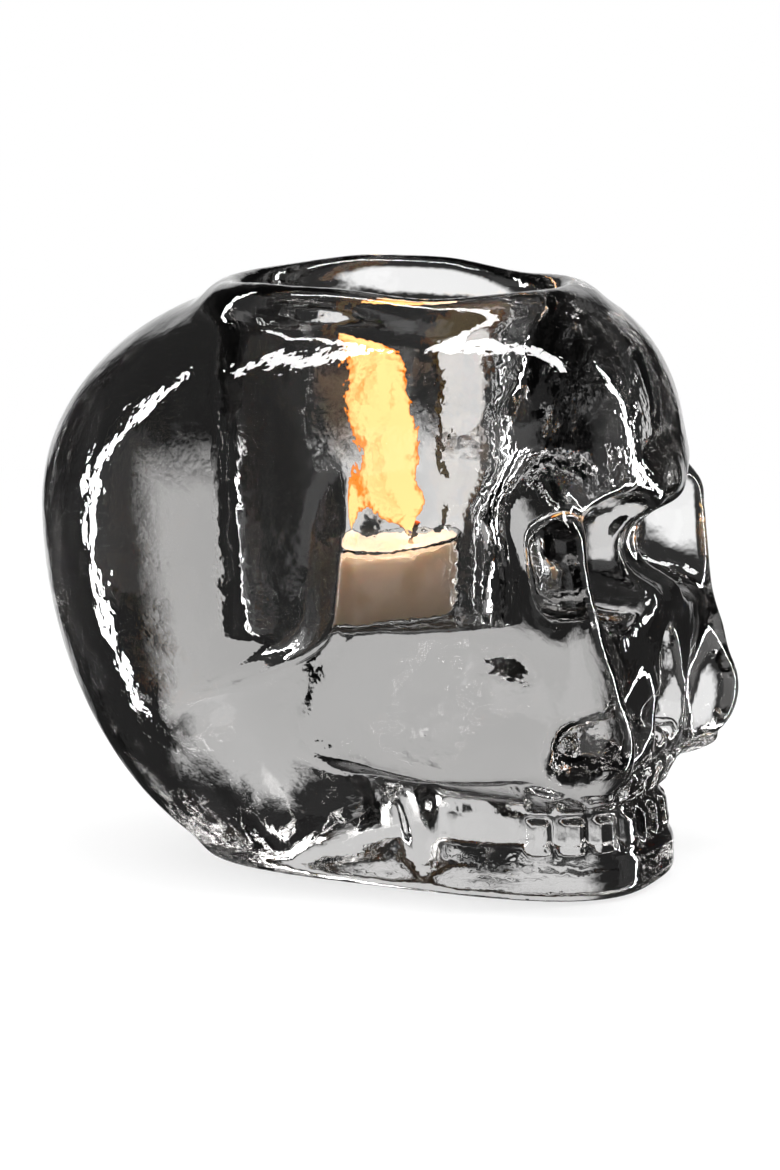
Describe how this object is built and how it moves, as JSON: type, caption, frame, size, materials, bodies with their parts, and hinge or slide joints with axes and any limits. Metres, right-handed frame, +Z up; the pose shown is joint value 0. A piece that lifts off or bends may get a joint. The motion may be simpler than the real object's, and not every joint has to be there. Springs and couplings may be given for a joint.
{
  "type": "skull candle holder",
  "caption": "Skull-shaped candle holder of heavy smoked glass, open at the crown, with a cup candle standing in its well.",
  "frame": {"origin": "on the base plane, under the middle of the candle well and its cup", "axes": "+Z up, -Y the way the face looks, X from side to side of the skull, which is the same on both sides"},
  "size_m": [0.092, 0.1308, 0.115],
  "materials": {
    "smoked_glass": "polished",
    "clear_plastic": "clear, gloss",
    "white_wax": "soft white wax",
    "tinned_steel": "tinned",
    "waxed_cotton": "waxed"
  },
  "bodies": {
    "root": {"skull_glass": "smoked_glass", "candle_cup": "clear_plastic", "candle_wax": "white_wax", "wick_holder": "tinned_steel", "wick": "waxed_cotton"}
  },
  "joints": []
}
